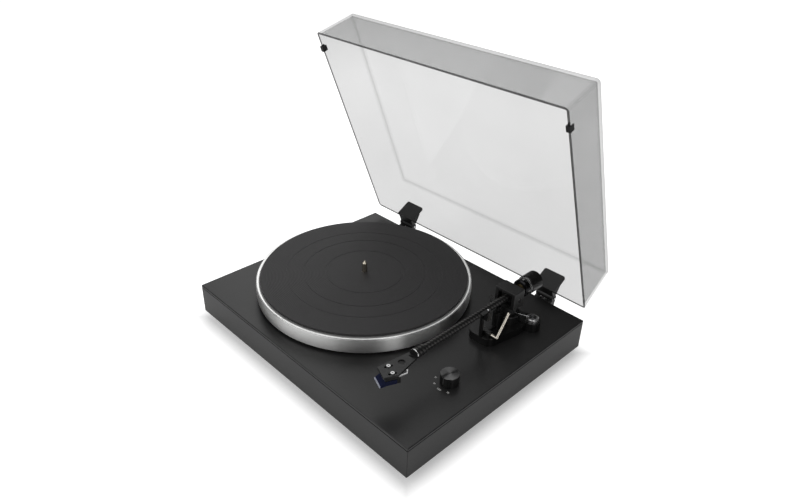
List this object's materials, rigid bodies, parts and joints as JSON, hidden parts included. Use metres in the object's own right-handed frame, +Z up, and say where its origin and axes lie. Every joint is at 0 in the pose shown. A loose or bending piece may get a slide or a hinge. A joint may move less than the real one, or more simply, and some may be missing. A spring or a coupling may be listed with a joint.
{
  "type": "turntable",
  "caption": "Direct-drive turntable: low black plinth on round feet, aluminium platter, straight tonearm with removable headshell, clear hinged dust cover standing open.",
  "frame": {"origin": "on the ground, under the middle of the whole at rest, cover open", "axes": "+X to the right along the front edge, +Y to the back, +Z up along the platter's axis"},
  "size_m": [0.42, 0.3964, 0.3972],
  "materials": {
    "plinth": "satin black lacquer over fibreboard",
    "deck": "satin black coating",
    "black_metal": "fine satin black",
    "steel": "plain bright steel",
    "platter": "turned and lightly brushed",
    "alloy": "satin",
    "carbon": "woven carbon look under clear lacquer",
    "chrome": "polished",
    "brass": "turned",
    "copper": "enamelled copper wire",
    "mat": "matt felt-like rubber",
    "rubber": "matt",
    "black_plastic": "fine satin grain",
    "gloss_black": "polished",
    "navy": "smooth",
    "board": "lacquered circuit board",
    "magnet": "sintered",
    "weight": "satin black",
    "clear": "clear moulded cover",
    "wire": "thin insulated wire"
  },
  "bodies": {
    "chassis": {"plinth": "plinth", "deck_plate": "deck", "bottom_cover": "black_metal", "case_screws": "steel", "feet": "black_plastic", "foot_pads": "rubber", "foot_screws": "steel", "motor_base": "steel", "bearing_housing": "brass", "bearing_bushes": "brass", "thrust_ball": "chrome", "stator_core": "steel", "stator_coils": "copper", "motor_board": "board", "control_board": "board", "board_spacers": "steel", "board_parts": "black_plastic", "speed_switch": "alloy", "rear_panel": "black_metal", "phono_jacks": "brass", "jack_rings": "black_plastic", "ground_post": "steel", "power_socket": "black_plastic", "arm_base": "black_plastic", "arm_base_nut": "steel", "pivot_bearings": "steel", "lift_housing": "black_plastic", "rest_post": "black_plastic", "hinge_bases": "black_plastic", "hinge_pins": "steel", "hinge_springs": "steel"},
    "platter_group": {"spindle_shaft": "chrome", "rotor_cup": "steel", "rotor_magnet": "magnet", "platter": "platter", "platter_mat": "mat"},
    "knob": {"switch_shaft": "brass", "speed_knob": "black_plastic"},
    "yoke": {"arm_yoke": "gloss_black", "yoke_screws": "chrome"},
    "arm": {"arm_tube": "carbon", "arm_hub": "black_metal"},
    "collar": {"headshell_collar": "carbon"},
    "shell": {"headshell": "black_metal", "finger_lift": "chrome", "cartridge": "black_plastic", "cartridge_screws": "chrome", "cartridge_leads": "wire"},
    "stylus": {"stylus_unit": "navy", "cantilever": "alloy"},
    "bush": {"weight_bush": "brass"},
    "weight": {"counterweight": "weight"},
    "dial": {"weight_dial": "black_plastic"},
    "lever": {"cue_lever": "chrome"},
    "lift": {"lift_bar": "black_metal"},
    "latch": {"rest_clip": "black_plastic"},
    "antiskate": {"antiskate_dial": "alloy"},
    "lid": {"dust_cover": "clear", "hinge_clips": "black_plastic", "lid_bumpers": "rubber"}
  },
  "joints": [
    {"name": "platter_spin", "type": "hinge", "parent": "chassis", "child": "platter_group", "pos_m": [-0.0495, -0.02906, 0.08], "axis": [0, 0, 1], "continuous": true},
    {"name": "speed_select", "type": "hinge", "parent": "chassis", "child": "knob", "pos_m": [0.1693, -0.08846, 0.06], "axis": [0, 0, 1], "range_deg": [-72, 36]},
    {"name": "arm_swing", "type": "hinge", "parent": "chassis", "child": "yoke", "pos_m": [0.1445, 0.05064, 0.08], "axis": [0, 0, 1], "range_deg": [-52, 0]},
    {"name": "arm_tilt", "type": "hinge", "parent": "yoke", "child": "arm", "pos_m": [0.1445, 0.05064, 0.1045], "axis": [-1, 0, 0], "range_deg": [-0.5, 10]},
    {"name": "collar_lock", "type": "hinge", "parent": "arm", "child": "collar", "pos_m": [0.1445, -0.11936, 0.1045], "axis": [0, 1, 0], "range_deg": [0, 45]},
    {"name": "headshell_pull", "type": "slide", "parent": "arm", "child": "shell", "axis": [0, -1, 0], "range_m": [0, 0.014]},
    {"name": "stylus_pull", "type": "slide", "parent": "shell", "child": "stylus", "axis": [-0.3859, -0.9225, 0], "range_m": [0, 0.008]},
    {"name": "weight_travel", "type": "slide", "parent": "arm", "child": "bush", "axis": [0, 1, 0], "range_m": [-0.006, 0.006]},
    {"name": "weight_turn", "type": "hinge", "parent": "bush", "child": "weight", "pos_m": [0.1445, 0.09564, 0.1045], "axis": [0, 1, 0], "range_deg": [-540, 540]},
    {"name": "dial_set", "type": "hinge", "parent": "weight", "child": "dial", "pos_m": [0.1445, 0.07864, 0.1045], "axis": [0, 1, 0], "range_deg": [-180, 180]},
    {"name": "cue_lever_turn", "type": "hinge", "parent": "chassis", "child": "lever", "pos_m": [0.155, 0.00464, 0.07], "axis": [1, 0, 0], "range_deg": [0, 80]},
    {"name": "cue_lift", "type": "slide", "parent": "chassis", "child": "lift", "axis": [0, 0, 1], "range_m": [-0.005, 0]},
    {"name": "rest_latch", "type": "hinge", "parent": "chassis", "child": "latch", "pos_m": [0.15255, -0.00336, 0.1096], "axis": [0, 0, 1], "range_deg": [-90, 0]},
    {"name": "antiskate_set", "type": "hinge", "parent": "chassis", "child": "antiskate", "pos_m": [0.1715, 0.07064, 0.069], "axis": [0, 0, 1], "range_deg": [0, 240]},
    {"name": "lid_hinge", "type": "hinge", "parent": "chassis", "child": "lid", "pos_m": [0, 0.14814, 0.0585], "axis": [-1, 0, 0], "range_deg": [-68.5, 6]}
  ],
  "couplings": [
    {"joint": "weight_turn", "follows": "weight_travel", "rad_per_m": 1570.8},
    {"joint": "cue_lift", "follows": "cue_lever_turn", "m_per_rad": -0.003581}
  ]
}
